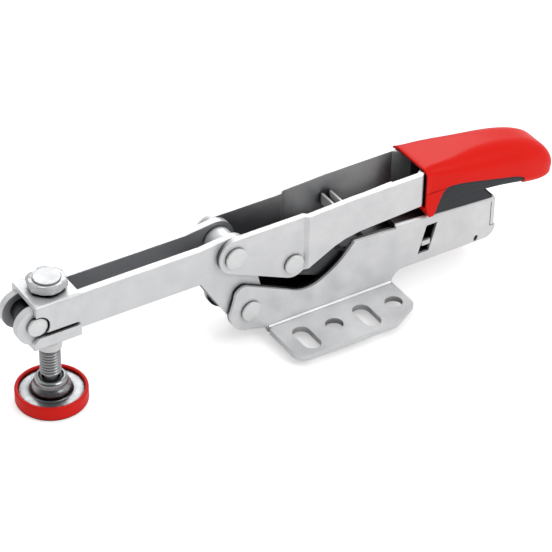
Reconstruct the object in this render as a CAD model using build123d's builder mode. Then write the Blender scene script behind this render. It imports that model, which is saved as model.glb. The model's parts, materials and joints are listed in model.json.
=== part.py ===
from build123d import *
from math import atan2, cos, degrees, hypot, radians, sin
import os

# Horizontal toggle clamp with an open arm, an M8 spindle and a wedge that adapts it to the workpiece.
# X runs from the pad to the grip, -Y is the left side and +Z is up, in millimetres.  The origin is the
# centre of the four round mounting holes, on the underside of the flanges.
os.makedirs("parts", exist_ok=True)

# ---- fits -------------------------------------------------------------------------------------------
running_fit = 0.06      # radial clearance of a rivet or a sleeve that turns
side_play = 0.1         # between plates that slide past each other
seat_gap = 0.35         # between the soft insert of the grip and the base under it
wedge_play = 0.1        # between the wedge bar and its neighbours

# ---- sheet thicknesses ------------------------------------------------------------------------------
base_sheet = 2.4
bar_sheet = 3.0
handle_sheet = 2.4
link_sheet = 2.4
saddle_sheet = 2.0
block_sheet = 2.0
strut_sheet = 0.9

# ---- pivots in the side view (x, z), with the arm closed --------------------------------------------
arm_pivot = (-43.6, 13.4)
handle_pivot = (-50.3, 39.8)
link_pivot = (-25.2, 28.0)
rear_pivot = (1.3, 16.24)
rivet_r = 3.0
link_pin_r = 2.8

# ---- arm --------------------------------------------------------------------------------------------
arm_slot = 8.4          # free width between the two bars
bar_height = 14.9
bar_low = 30.9          # underside of the bars
arm_lobe_r = 7.6        # round the arm pivot
arm_crown_r = 7.5       # round the handle pivot
tip_x = -130.9          # centre of the rounded tip
knee_x = -63.9          # where the underside turns down to the arm pivot
sleeve_r = 5.6
tip_rivet = (-130.7, 38.8)
tip_rivet_r = 2.5
tip_spacer_r = 4.4

# ---- base -------------------------------------------------------------------------------------------
flange_left = -36.0
flange_right = 19.8
flange_reach = 32.2     # from the middle to the edge of a flange
flange_corner_r = 5.0
bevel_x = 12.4          # the bevel at the rear corners of the flanges
bevel_y = 6.8
bend_r = 0.8
hole_pitch = 13.4       # from hole to slot along X
hole_r = 3.5
hole_edge = 11.4        # round holes, from the edge of the flange
slot_edge = 9.6         # slots, from the edge of the flange
slot_length = 14.4
base_lobe_r = 8.8       # cheek round the arm pivot
brow = (-46.2, 25.0)    # top of the cheek in front
dip = (-18.5, 13.8)     # lowest point of the cheek's top edge
peak = (2.2, 27.8)      # where the edge has come up again
web_front = 20.8
web_top = 28.6          # top of the web at its front edge
web_fall = 0.062        # slope of the web
web_round = 1.5
base_rear = 68.0
rear_corner_r = 5.0
rear_low = 7.0          # underside of the cheek behind the flange
cove_r = 5.0
tab_low = 12.2          # lower end of the tab that closes the rear
tab_seam = 0.3
stud_hole = (59.0, 8.6)

# ---- wedge ------------------------------------------------------------------------------------------
wedge_slot_x = 31.6     # front edge of the slot at its lower end
wedge_slot_low = 11.0
wedge_slot_high = 23.1
wedge_slot_width = 5.0
wedge_lean = 0.289
wedge_bar_low = 14.2
wedge_bar_sheet = 2.1
spring_r = 1.8
spring_wire_r = 0.3
spring_turns = 4

# ---- adjuster block ---------------------------------------------------------------------------------
block_half = 4.6
block_top = 24.1
block_low = 8.8
block_web_front = 10.3
block_nose_r = 6.4
pin_path = (9.31, 2.05)     # how far the open pivot wanders while the arm opens
pin_room = 0.5
block_travel = 1.9          # room for the block's own travel at each end of its slot

# ---- link -------------------------------------------------------------------------------------------
link_front_r = 6.2
link_rear_r = 5.3
link_web_front = 8.0        # ends of the web that joins the plates, from the front pivot
link_web_rear = 16.4

# ---- handle -----------------------------------------------------------------------------------------
handle_lobe_r = 7.3
handle_heel_r = 6.3     # round the link pivot
jog_x = -20.2           # where the plates step outwards
jog = 1.35
jog_run = 1.5
handle_top_front = 47.3
handle_top_rear = 48.5
handle_low_rear = 34.5
# underside of the plates: run from the link pivot, drop below handle_low_rear
handle_belly = ((28.6, 1.5), (21.9, 2.7), (17.5, 4.3))
tuck_x = 31.0           # where the plates turn in to the grip
tuck_run = 6.0
tuck_fall = 0.8         # how far the top edge falls inside the mouth
tang_x = 39.5           # where the plates narrow to their tangs
tang_half = 6.6         # outer faces of the tangs, from the middle
tang_low = 41.2
tang_top = 46.4
tang_fall = 3.6
tang_end = 66.0
strut_x = -2.1
strut_top = 40.8
strut_width = 4.6
strut_depth = 4.6

# ---- grip -------------------------------------------------------------------------------------------
grip_front = 32.6
grip_length = 62.8
grip_half = 11.9        # half width at the mouth
grip_top = 49.4
grip_low = 31.4         # underside of the grip behind its mouth
grip_round = 8.6        # largest corner radius of the top
leg_low = 28.5
leg_depth = 3.8         # of the leg's foot, along X
leg_flare = 5.2         # how much deeper the leg is at its root
leg_root = 6.0          # from the floor of the mouth up to the leg's root
mouth_wall = 0.75
mouth_depth = 8.6
mouth_low = 33.2
insert_gap = 4.2        # from the mouth to the front edge of the insert
insert_inset = 0.5      # how far the insert lies inside the shell's surface
insert_length = 45.7
split_top = 39.7        # highest point of the line between the shell and the insert
split_crest = 7.4       # its run from the front edge of the insert
# the line in front of that point and behind it: run from the front edge, drop below split_top
split_rise = ((1.5, 6.6), (3.0, 3.1), (4.6, 0.8))
split_fall = ((15.8, 1.1), (25.3, 3.5), (34.9, 5.9), (42.8, 9.1))
split_reach = 8.0       # how far the line runs on below the leg
belly_half = 10.4
belly_length = 28.6
belly_slant = 4.8       # of the belly's rear end
belly_rise = 0.9        # how far the slant stays below the underside of the grip

# ---- rivet heads: base radius, face radius, height --------------------------------------------------
arm_head = (4.5, 3.4, 1.5)
handle_head = (5.0, 3.7, 1.5)
link_head = (4.4, 3.3, 1.5)
tip_head = (4.3, 3.7, 2.1)

# ---- spindle, saddles and pad -----------------------------------------------------------------------
spindle_x = -122.3
spindle_r = 3.95
head_flats = 13.0
head_height = 4.4
head_boss_r = 4.9
head_boss_height = 0.9
saddle_front = -131.5
saddle_rear = -113.8
saddle_nose = 1.1       # how far the lower saddle reaches past the top one
saddle_bend_r = 1.0
upper_edge = 35.7       # lower edge of the top saddle's sides
lower_edge = 34.0       # upper edge of the lower saddle's sides
notch_play = 0.2        # round the head of the tip rivet
collar_low = 21.8
collar_root_r = 6.2
collar_rim_r = 4.6
ball_r = 3.5
ball_z = 4.5
neck_r = 2.5
disc_r = 12.1
disc_low = 0.6
disc_sheet = 1.4
dome_r = 7.4
mouth_r = 4.2
dome_top = 8.4
ring_bore_r = 3.3
ring_height = 0.7
cap_wall = 1.45
cap_low = -2.8
cap_rim = 3.15

# ---- derived ----------------------------------------------------------------------------------------
hole_row = flange_reach - hole_edge
slot_row = flange_reach - slot_edge
bar_in = arm_slot / 2
bar_out = bar_in + bar_sheet
bar_top = bar_low + bar_height
bar_middle = bar_low + bar_height / 2
cheek_in = bar_out + side_play
cheek_out = cheek_in + base_sheet
plate_in = cheek_in
plate_out = plate_in + handle_sheet
wide_in = plate_in + jog
wide_out = plate_out + jog
link_out = plate_in - side_play
link_in = link_out - link_sheet
wedge_travel_x = wedge_lean * wedge_bar_sheet
wedge_front = wedge_slot_x + wedge_lean * (wedge_bar_low + wedge_bar_sheet - wedge_slot_low) + wedge_play
wedge_width = wedge_slot_width - wedge_travel_x - 2 * wedge_play
wedge_x = wedge_front + wedge_width / 2
pad_axis = Axis((spindle_x, 0, 0), (0, 0, 1))
pad_plane = Plane(origin=(spindle_x, 0, 0), x_dir=(1, 0, 0), z_dir=(0, -1, 0))


def web_z(x):
    """Height of the top of the web at x."""
    return web_top - (x - web_front) * web_fall


def export(builder, name):
    """Label a finished piece and write it to its own file."""
    builder.part.label = name
    export_step(builder.part, f"parts/{name}.step")


def side_plane(offset):
    """A plane parallel to the side view, offset towards -Y: local x is X and local y is Z."""
    return Plane.XZ.offset(offset)


def rivet(name, point, shaft_r, reach, head):
    """A rivet along Y: a shaft between two heads whose seats lie at +reach and -reach."""
    head_r, face_r, height = head
    with BuildPart() as piece:
        with BuildSketch(Plane(origin=(point[0], 0, point[1]), x_dir=(1, 0, 0), z_dir=(0, 0, 1))):
            with BuildLine():
                Polyline(
                    (0, -reach - height), (face_r, -reach - height), (head_r, -reach - height * 0.35),
                    (head_r, -reach), (shaft_r, -reach), (shaft_r, reach), (head_r, reach),
                    (head_r, reach + height * 0.35), (face_r, reach + height), (0, reach + height),
                    close=True,
                )
            make_face()
        revolve(axis=Axis((point[0], 0, point[1]), (0, 1, 0)))
        circles = edges().filter_by(GeomType.CIRCLE)
        fillet(circles.filter_by(lambda e: abs(e.center().Y) > reach + height * 0.9), 0.3)
    export(piece, name)


def sleeve(name, point, outer_r, inner_r, half):
    """A tube along Y round a rivet."""
    with BuildPart() as piece:
        with BuildSketch(side_plane(-half)):
            with Locations(point):
                Circle(outer_r)
                Circle(inner_r, mode=Mode.SUBTRACT)
        extrude(amount=2 * half)
    export(piece, name)


# ---- base: one folded sheet with cheeks, flanges, web and rear tab ----------------------------------
seam_x = base_rear - base_sheet - tab_seam
nose_x = arm_pivot[0] - base_lobe_r
with BuildPart() as base_frame:
    with BuildSketch(Plane.YZ.offset(nose_x - 1)):
        with BuildLine():
            Polyline(
                (-flange_reach, 0), (-flange_reach, base_sheet), (-cheek_out, base_sheet),
                (-cheek_out, web_top + 1), (-cheek_in, web_top + 1), (-cheek_in, 0), close=True,
            )
        make_face()
        mirror(about=Plane.YZ)
        fillet(vertices().filter_by(lambda v: abs(v.Y) < 0.01 and abs(v.X) < cheek_out), bend_r + base_sheet)
        roots = vertices().filter_by_position(Axis.X, -cheek_out - 0.1, cheek_out + 0.1)
        fillet(roots.filter_by_position(Axis.Y, base_sheet, base_sheet), bend_r)
    extrude(amount=base_rear - nose_x + 1)
    with BuildSketch(side_plane(-flange_reach - 1)):
        with BuildLine():
            nose = CenterArc(arm_pivot, base_lobe_r, 252, -72)
            up = Line(nose @ 1, (nose_x + 2.0, brow[1] - 4.4))
            crown = ThreePointArc(up @ 1, (brow[0] - 2.4, brow[1] - 0.9), (brow[0] + 1.0, brow[1] - 0.2))
            slope = Line(crown @ 1, (dip[0] - 7.8, dip[1] + 2.2))
            bowl = ThreePointArc(slope @ 1, dip, (dip[0] + 5.5, dip[1] + 1.35))
            climb = ThreePointArc(bowl @ 1, (peak[0] - 6.8, peak[1] - 7.3), peak)
            shelf = Line(climb @ 1, (web_front, web_z(web_front) - base_sheet * 0.75))
            rise = Line(shelf @ 1, (web_front, web_z(web_front)))
            back = Line(rise @ 1, (seam_x, web_z(seam_x)))
            ear = Polyline(
                back @ 1, (seam_x, tab_low), (base_rear, tab_low), (base_rear, rear_low + rear_corner_r))
            corner = RadiusArc(ear @ 1, (base_rear - rear_corner_r, rear_low), rear_corner_r)
            under = Line(corner @ 1, (flange_right + cove_r, rear_low))
            cove = RadiusArc(under @ 1, (flange_right, rear_low - cove_r), -cove_r)
            Polyline(cove @ 1, (flange_right, 0), (flange_left, 0), (flange_left, base_sheet), nose @ 0)
        make_face()
    extrude(amount=2 * flange_reach + 2, mode=Mode.INTERSECT)
    with BuildSketch(Plane.XY) as plan:
        with BuildLine():
            Polyline(
                (flange_left, cheek_out), (flange_left, flange_reach), (flange_right - bevel_x, flange_reach),
                (flange_right, flange_reach - bevel_y), (flange_right, cheek_out), close=True,
            )
        make_face()
        outer = vertices().filter_by(lambda v: v.Y > cheek_out + 1)
        fillet(outer.sort_by(Axis.X)[0], flange_corner_r)
        fillet(vertices().filter_by(lambda v: v.Y > cheek_out + 1 and v.X > flange_right - bevel_x - 1), 2.0)
        mirror(about=Plane.XZ)
        with Locations(((nose_x + base_rear) / 2, 0)):
            Rectangle(base_rear - nose_x + 4, 2 * cheek_out)
    extrude(amount=web_top + 1, mode=Mode.INTERSECT)
    with BuildSketch(side_plane(-cheek_out)):
        with BuildLine():
            tab_x = base_rear - base_sheet
            Polyline(
                (web_front, web_z(web_front)), (base_rear, web_z(base_rear)), (base_rear, tab_low + tab_seam),
                (tab_x, tab_low + tab_seam), (tab_x, web_z(tab_x) - base_sheet),
                (web_front, web_z(web_front) - base_sheet), close=True,
            )
        make_face()
    extrude(amount=2 * cheek_out)
    rear_edges = edges().filter_by(Axis.Y).filter_by(lambda e: e.center().X > base_rear - 0.1)
    fillet(rear_edges.sort_by(Axis.Z)[-1], base_sheet)
    outer_edges = edges().filter_by(lambda e: abs(abs(e.center().Y) - cheek_out) < 0.01 and e.length > 25)
    fillet(outer_edges.filter_by(lambda e: e.center().Z > web_z(base_rear) - 1), web_round)
    with BuildSketch(Plane.XY):
        for side in (1, -1):
            with Locations((-hole_pitch, side * hole_row), (hole_pitch, side * hole_row)):
                Circle(hole_r)
            with Locations((-2 * hole_pitch, side * slot_row), (0, side * slot_row)):
                SlotOverall(slot_length, 2 * hole_r, rotation=90)
            with Locations((flange_left, side * (cheek_out + bend_r))):
                Circle(bend_r)
    extrude(amount=base_sheet + bend_r, mode=Mode.SUBTRACT)
    with BuildSketch(side_plane(-cheek_out - 1)):
        shift = wedge_lean * (wedge_slot_high - wedge_slot_low)
        with BuildLine():
            Polyline(
                (wedge_slot_x, wedge_slot_low), (wedge_slot_x + wedge_slot_width, wedge_slot_low),
                (wedge_slot_x + wedge_slot_width + shift, wedge_slot_high),
                (wedge_slot_x + shift, wedge_slot_high), close=True,
            )
        make_face()
        with Locations(arm_pivot):
            Circle(rivet_r)
        with Locations(stud_hole):
            SlotOverall(2.6, 1.6, rotation=70)
    extrude(amount=2 * cheek_out + 2, mode=Mode.SUBTRACT)
export(base_frame, "base_frame")

rivet("arm_rivet", arm_pivot, rivet_r, cheek_out, arm_head)

# ---- wedge bar and its spring -----------------------------------------------------------------------
with BuildPart() as wedge_bar:
    with BuildSketch(side_plane(-cheek_out)):
        with Locations((wedge_x, wedge_bar_low + wedge_bar_sheet / 2)):
            Rectangle(wedge_width, wedge_bar_sheet)
    extrude(amount=2 * cheek_out)
    fillet(edges().filter_by(Axis.Z), 0.6)
export(wedge_bar, "wedge_bar")

spring_low = wedge_bar_low + wedge_bar_sheet + spring_wire_r
spring_high = web_z(wedge_x + spring_r + spring_wire_r) - base_sheet - spring_wire_r
with BuildPart() as wedge_spring:
    with BuildLine():
        coil = Helix((spring_high - spring_low) / spring_turns, spring_high - spring_low, spring_r,
                     center=(wedge_x, 0, spring_low))
    with BuildSketch(Plane(origin=coil @ 0, z_dir=coil % 0)):
        Circle(spring_wire_r)
    sweep(path=coil, is_frenet=True)
export(wedge_spring, "wedge_spring")

# ---- adjuster block: an inverted channel with the slot for the open pivot ---------------------------
path_length = hypot(*pin_path)
path_turn = degrees(atan2(pin_path[1], pin_path[0]))
slot_front = -block_travel
slot_rear = path_length + block_travel
slot_middle = (slot_front + slot_rear) / 2
block_rear = wedge_front - wedge_play
with BuildPart() as adjuster_block:
    with BuildSketch(Plane.YZ.offset(rear_pivot[0] - block_nose_r)):
        with BuildLine():
            Polyline(
                (-block_half, block_low), (-block_half, block_top), (block_half, block_top),
                (block_half, block_low), (block_half - block_sheet, block_low),
                (block_half - block_sheet, block_top - block_sheet),
                (block_sheet - block_half, block_top - block_sheet), (block_sheet - block_half, block_low),
                close=True,
            )
        make_face()
        fillet(vertices().filter_by_position(Axis.Y, block_top, block_top), 1.0)
    extrude(amount=block_rear - rear_pivot[0] + block_nose_r)
    with BuildSketch(side_plane(-block_half)):
        with Locations(rear_pivot):
            Circle(block_nose_r)
        with BuildLine():
            Polyline(
                (rear_pivot[0], rear_pivot[1] + block_nose_r),
                (block_web_front - 1.5, rear_pivot[1] + block_nose_r), (block_web_front, block_top),
                (block_rear, block_top), (block_rear, block_low + 1.6),
                (block_rear - 6, block_low), (block_web_front, block_low),
                (rear_pivot[0], rear_pivot[1] - block_nose_r), close=True,
            )
        make_face()
        slot_x = rear_pivot[0] + slot_middle * cos(radians(path_turn))
        slot_z = rear_pivot[1] + slot_middle * sin(radians(path_turn))
        with Locations((slot_x, slot_z)):
            SlotCenterToCenter(
                slot_rear - slot_front, 2 * (link_pin_r + pin_room), rotation=path_turn, mode=Mode.SUBTRACT)
    extrude(amount=2 * block_half, mode=Mode.INTERSECT)
export(adjuster_block, "adjuster_block")

# ---- arm: two bars, sleeves and the tip -------------------------------------------------------------
for side, name in ((1, "arm_bar_left"), (-1, "arm_bar_right")):
    with BuildPart() as arm_bar:
        with BuildSketch(side_plane(side * bar_in)):
            with Locations(arm_pivot):
                Circle(arm_lobe_r)
            with Locations(handle_pivot):
                Circle(arm_crown_r)
            with Locations((knee_x + 1, bar_low + 1), (knee_x + 1, bar_top - 1)):
                Circle(1)
            make_hull()
            with Locations(((tip_x + knee_x) / 2, bar_middle)):
                SlotCenterToCenter(knee_x - tip_x, bar_height)
            with Locations(arm_pivot, handle_pivot):
                Circle(rivet_r + running_fit, mode=Mode.SUBTRACT)
            with Locations(tip_rivet):
                Circle(tip_rivet_r, mode=Mode.SUBTRACT)
        extrude(amount=side * bar_sheet)
    export(arm_bar, name)

sleeve("arm_sleeve", arm_pivot, sleeve_r, rivet_r + running_fit, bar_in)
sleeve("handle_sleeve", handle_pivot, sleeve_r, rivet_r + running_fit, bar_in)
sleeve("tip_spacer", tip_rivet, tip_spacer_r, tip_rivet_r, bar_in)
rivet("tip_rivet", tip_rivet, tip_rivet_r, bar_out, tip_head)

# ---- saddles that carry the spindle along the arm ---------------------------------------------------
saddle_in = bar_out + side_play
saddle_out = saddle_in + saddle_sheet
saddle_top = bar_top + saddle_sheet
saddle_low = bar_low - saddle_sheet
with BuildPart() as top_saddle:
    with BuildSketch(Plane.YZ.offset(saddle_front)):
        with BuildLine():
            Polyline(
                (-saddle_out, upper_edge), (-saddle_out, saddle_top), (saddle_out, saddle_top),
                (saddle_out, upper_edge), (saddle_in, upper_edge), (saddle_in, bar_top),
                (-saddle_in, bar_top), (-saddle_in, upper_edge), close=True,
            )
        make_face()
        fillet(vertices().filter_by_position(Axis.Y, saddle_top, saddle_top), saddle_bend_r)
    extrude(amount=saddle_rear - saddle_front)
    with BuildSketch(side_plane(-saddle_out)):
        with Locations(tip_rivet):
            Circle(tip_head[0] + notch_play)
    extrude(amount=2 * saddle_out, mode=Mode.SUBTRACT)
    with Locations((spindle_x, 0, saddle_top)):
        Hole(spindle_r + running_fit)
export(top_saddle, "top_saddle")

with BuildPart() as lower_saddle:
    with BuildSketch(Plane.YZ.offset(saddle_front - saddle_nose)):
        with BuildLine():
            Polyline(
                (-saddle_out, lower_edge), (-saddle_out, saddle_low), (saddle_out, saddle_low),
                (saddle_out, lower_edge), (saddle_in, lower_edge), (saddle_in, bar_low),
                (-saddle_in, bar_low), (-saddle_in, lower_edge), close=True,
            )
        make_face()
        fillet(vertices().filter_by_position(Axis.Y, saddle_low, saddle_low), saddle_bend_r)
    extrude(amount=saddle_rear - saddle_front + saddle_nose)
    ends = edges().filter_by(Axis.Y).filter_by(lambda e: abs(e.center().Z - lower_edge) < 0.01)
    chamfer(ends.group_by(Axis.X)[0], 2.0)
    with BuildSketch(pad_plane):
        with BuildLine():
            Polyline(
                (0, collar_low), (collar_rim_r, collar_low), (collar_rim_r + 0.2, collar_low + 3.0),
                (collar_root_r, saddle_low), (collar_root_r, bar_low), (0, bar_low), close=True,
            )
        make_face()
    revolve(axis=pad_axis)
    with Locations((spindle_x, 0, bar_low)):
        Hole(spindle_r + running_fit)
export(lower_saddle, "lower_saddle")

# ---- spindle: ball, neck, thread and hexagon head ---------------------------------------------------
thread_low = ball_z + 5.6
neck_z = ball_z + (ball_r ** 2 - neck_r ** 2) ** 0.5
flat_r = head_flats / 2
head_corner_r = flat_r / cos(radians(30))
head_top = saddle_top + head_height
with BuildPart() as spindle:
    with BuildSketch(Plane.XY.offset(saddle_top)):
        with Locations((spindle_x, 0)):
            RegularPolygon(flat_r, 6, major_radius=False, rotation=8)
    extrude(amount=head_height + head_boss_height)
    with BuildSketch(pad_plane):
        with BuildLine():
            Polyline(
                (0, saddle_top), (flat_r, saddle_top), (head_corner_r + 0.1, saddle_top + 0.8),
                (head_corner_r + 0.1, head_top - 0.9), (flat_r - 0.3, head_top), (head_boss_r, head_top),
                (head_boss_r, head_top + head_boss_height - 0.25),
                (head_boss_r - 0.25, head_top + head_boss_height), (0, head_top + head_boss_height),
                close=True,
            )
        make_face()
    revolve(axis=pad_axis, mode=Mode.INTERSECT)
    with BuildSketch(pad_plane):
        with BuildLine():
            ball = CenterArc((0, ball_z), ball_r, -90, 90 + degrees(atan2(neck_z - ball_z, neck_r)))
            Polyline(
                ball @ 1, (neck_r, thread_low - 0.9), (spindle_r, thread_low), (spindle_r, saddle_top),
                (0, saddle_top), ball @ 0,
            )
        make_face()
    revolve(axis=pad_axis)
export(spindle, "spindle")

# ---- swivel pad -------------------------------------------------------------------------------------
disc_top = disc_low + disc_sheet
socket_low = ball_z - ball_r - running_fit
with BuildPart() as pad_disc:
    with BuildSketch(pad_plane):
        with BuildLine():
            Polyline(
                (0, disc_low), (disc_r, disc_low), (disc_r, disc_top), (dome_r + 0.4, disc_top),
                (dome_r, disc_top + 0.4), (dome_r - 0.2, 3.4), (dome_r - 1.0, 5.5), (dome_r - 1.4, 5.8),
                (dome_r - 1.6, 6.8), (mouth_r + 0.8, dome_top), (mouth_r, dome_top), (mouth_r, socket_low),
                (0, socket_low), close=True,
            )
        make_face()
    revolve(axis=pad_axis)
export(pad_disc, "pad_disc")

ring_low = dome_top - 0.3 - ring_height
with BuildPart() as pad_ring:
    with BuildSketch(Plane.XY.offset(ring_low)):
        with Locations((spindle_x, 0)):
            Circle(mouth_r)
            Circle(ring_bore_r, mode=Mode.SUBTRACT)
    extrude(amount=ring_height)
export(pad_ring, "pad_ring")

cap_r = disc_r + cap_wall
with BuildPart() as pad_cap:
    with BuildSketch(pad_plane):
        with BuildLine():
            Polyline(
                (0, cap_low), (cap_r, cap_low), (cap_r, cap_rim), (disc_r, cap_rim), (disc_r, disc_low),
                (0, disc_low), close=True,
            )
        make_face()
        fillet(vertices().filter_by_position(Axis.Y, cap_rim, cap_rim), cap_wall * 0.4)
        fillet(vertices().filter_by_position(Axis.Y, cap_low, cap_low).sort_by(Axis.X)[-1], 1.0)
    revolve(axis=pad_axis)
export(pad_cap, "pad_cap")

# ---- handle plates ----------------------------------------------------------------------------------
def tang_outline(plane):
    """The side outline of a handle plate's tang."""
    with BuildSketch(plane) as outline:
        with BuildLine():
            Polyline(
                (tang_x, tang_top), (tang_end, tang_top - tang_fall), (tang_end, tang_low - tang_fall),
                (tang_x, tang_low), close=True,
            )
        make_face()
    return outline.sketch


handle_bottom = link_pivot[1] - handle_heel_r
handle_ceiling = max(handle_top_rear, handle_pivot[1] + handle_lobe_r) + 1
for side, name in ((-1, "handle_plate_left"), (1, "handle_plate_right")):
    with BuildPart() as handle_plate:
        with BuildSketch(Plane.XY.offset(handle_bottom - 1)):
            front_x = handle_pivot[0] - handle_lobe_r - 1
            tang_in = tang_half - handle_sheet
            with BuildLine():
                Polyline(
                    (front_x, side * plate_in), (jog_x, side * plate_in), (jog_x + jog_run, side * wide_in),
                    (tuck_x - 0.8, side * wide_in), (tuck_x + tuck_run - 0.8, side * tang_in),
                    (tang_end, side * tang_in), (tang_end, side * tang_half),
                    (tuck_x + tuck_run, side * tang_half), (tuck_x, side * wide_out),
                    (jog_x + jog_run - 0.5, side * wide_out), (jog_x - 0.5, side * plate_out),
                    (front_x, side * plate_out), close=True,
                )
            make_face()
        extrude(amount=handle_ceiling - handle_bottom + 1)
        with BuildSketch(side_plane(-wide_out - 1)):
            with Locations((handle_pivot[0] + 0.7, handle_pivot[1] + 0.2)):
                Circle(handle_lobe_r)
            with Locations(link_pivot):
                Circle(handle_heel_r)
            with Locations((jog_x, handle_top_front - 1)):
                Circle(1)
            make_hull()
            belly = [(link_pivot[0] + run, handle_low_rear - drop) for run, drop in handle_belly]
            with BuildLine():
                Polyline(
                    (jog_x - 2, handle_top_front), (jog_x + 20, handle_top_rear - 0.2),
                    (tuck_x + 1.1, handle_top_rear), (tang_x - 1.5, handle_top_rear - tuck_fall),
                    (tang_x, tang_top), (tang_end, tang_top - tang_fall), (tang_end, tang_low - tang_fall),
                    (tang_x, tang_low), (tang_x - 1.5, handle_low_rear + 1.0),
                    (tuck_x + 0.1, handle_low_rear), *belly, (link_pivot[0] + 2.7, link_pivot[1] - 5.6),
                    link_pivot, close=True,
                )
            make_face()
            with Locations(handle_pivot, link_pivot):
                Circle(rivet_r, mode=Mode.SUBTRACT)
        extrude(amount=2 * wide_out + 2, mode=Mode.INTERSECT)
    export(handle_plate, name)

rivet("handle_rivet", handle_pivot, rivet_r, plate_out, handle_head)
rivet("link_rivet", link_pivot, rivet_r, plate_out, link_head)

with BuildPart() as handle_strut:
    with BuildSketch(side_plane(-wide_in)):
        with BuildLine():
            strut_rear = strut_x + strut_width
            strut_low = strut_top - strut_depth
            Polyline(
                (strut_x, strut_top), (strut_x, strut_low), (strut_rear, strut_low), (strut_rear, strut_top),
                (strut_rear - strut_sheet, strut_top), (strut_rear - strut_sheet, strut_low + strut_sheet),
                (strut_x + strut_sheet, strut_low + strut_sheet), (strut_x + strut_sheet, strut_top),
                close=True,
            )
        make_face()
    extrude(amount=2 * wide_in)
export(handle_strut, "handle_strut")

# ---- link -------------------------------------------------------------------------------------------
link_run = hypot(rear_pivot[0] - link_pivot[0], rear_pivot[1] - link_pivot[1])
link_turn = degrees(atan2(rear_pivot[1] - link_pivot[1], rear_pivot[0] - link_pivot[0]))
link_frame = Plane(
    origin=(link_pivot[0], 0, link_pivot[1]),
    x_dir=(cos(radians(link_turn)), 0, sin(radians(link_turn))), z_dir=(0, -1, 0),
)
with BuildPart() as toggle_link:
    with BuildSketch(link_frame.offset(-link_out)):
        Circle(link_front_r)
        with Locations((link_run, 0)):
            Circle(link_rear_r)
        make_hull()
        Circle(rivet_r + running_fit, mode=Mode.SUBTRACT)
        with Locations((link_run, 0)):
            Circle(link_pin_r, mode=Mode.SUBTRACT)
    extrude(amount=2 * link_out)
    with BuildSketch(link_frame.offset(-link_in)):
        with BuildLine():
            room = link_run + link_rear_r + 1
            Polyline(
                (-link_front_r - 1, -link_front_r - 1), (link_web_front, -link_front_r - 1),
                (link_web_front, link_sheet - link_rear_r), (link_web_rear, link_sheet - link_rear_r),
                (link_web_rear, -link_front_r - 1), (room, -link_front_r - 1), (room, link_front_r + 1),
                (-link_front_r - 1, link_front_r + 1), close=True,
            )
        make_face()
    extrude(amount=2 * link_in, mode=Mode.SUBTRACT)
export(toggle_link, "toggle_link")

with BuildPart() as link_pin:
    with BuildSketch(side_plane(-link_out)):
        with Locations(rear_pivot):
            Circle(link_pin_r)
    extrude(amount=2 * link_out)
export(link_pin, "link_pin")

# ---- grip: one outer form, split into a red shell and a dark insert ---------------------------------
# stations along the grip: share of the length and drop at the top, the same at the bottom, how much is
# taken off the half width, top corner radius, bottom corner radius
grip_stations = (
    (0.0, 0.0, 0.0, 0.0, 0.0, 2.4, 2.4),
    (0.182, 0.2, 0.182, 0.2, 0.0, grip_round * 0.6, 3.0),
    (0.389, 0.9, 0.389, 1.0, 0.0, grip_round * 0.93, 3.6),
    (0.596, 2.4, 0.580, 2.6, 0.3, grip_round, 4.0),
    (0.763, 4.8, 0.723, 4.4, 0.7, grip_round * 0.95, 4.0),
    (0.890, 8.2, 0.842, 6.0, 1.5, grip_round * 0.81, 3.6),
    (0.971, 12.8, 0.930, 6.6, 2.7, grip_round * 0.53, 2.8),
    (1.0, 17.8, 0.984, 6.3, 4.3, 2.2, 1.8),
)
insert_x = grip_front + insert_gap
cabin_top = grip_top + 1


def grip_form(inset):
    """The outer form of the grip, taken in by inset all round."""
    with BuildPart() as form:
        for top_share, top_drop, low_share, low_drop, taper, top_r, low_r in grip_stations:
            top_x = grip_front + grip_length * top_share
            low_x = grip_front + grip_length * low_share
            top_z = grip_top - top_drop
            low_z = grip_low - low_drop
            height = hypot(top_x - low_x, top_z - low_z)
            up = ((top_x - low_x) / height, 0, (top_z - low_z) / height)
            middle = ((top_x + low_x) / 2, 0, (top_z + low_z) / 2)
            with BuildSketch(Plane(origin=middle, x_dir=(0, 1, 0), z_dir=(up[2], 0, -up[0]))):
                Rectangle(2 * (grip_half - taper - inset), height - 2 * inset)
                fillet(vertices().group_by(Axis.Y)[-1], max(top_r - inset, 0.5))
                fillet(vertices().group_by(Axis.Y)[0], max(low_r - inset, 0.5))
        loft()
    return form.part


def insert_outline(plane):
    """The side outline that divides the insert from the shell."""
    floor = leg_low - split_reach
    front, middle, shoulder = [(insert_x + run, split_top - drop) for run, drop in split_rise]
    fall = [(insert_x + run, split_top - drop) for run, drop in split_fall]
    with BuildSketch(plane) as outline:
        with BuildLine():
            rise = Polyline((insert_x, floor), (insert_x, leg_low + 0.4), front, middle)
            bend = ThreePointArc(rise @ 1, shoulder, (insert_x + split_crest, split_top))
            split = Spline(bend @ 1, *fall, tangents=((1, 0), (1, -0.8)))
            Polyline(split @ 1, (insert_x + insert_length, floor), rise @ 0)
        make_face()
    return outline.sketch


with BuildPart() as mouth_form:
    add(grip_form(mouth_wall))
    with BuildSketch(side_plane(-grip_half)):
        with Locations((grip_front + mouth_depth / 2, (mouth_low + cabin_top) / 2)):
            Rectangle(mouth_depth, cabin_top - mouth_low)
    extrude(amount=2 * grip_half, mode=Mode.INTERSECT)

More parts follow.
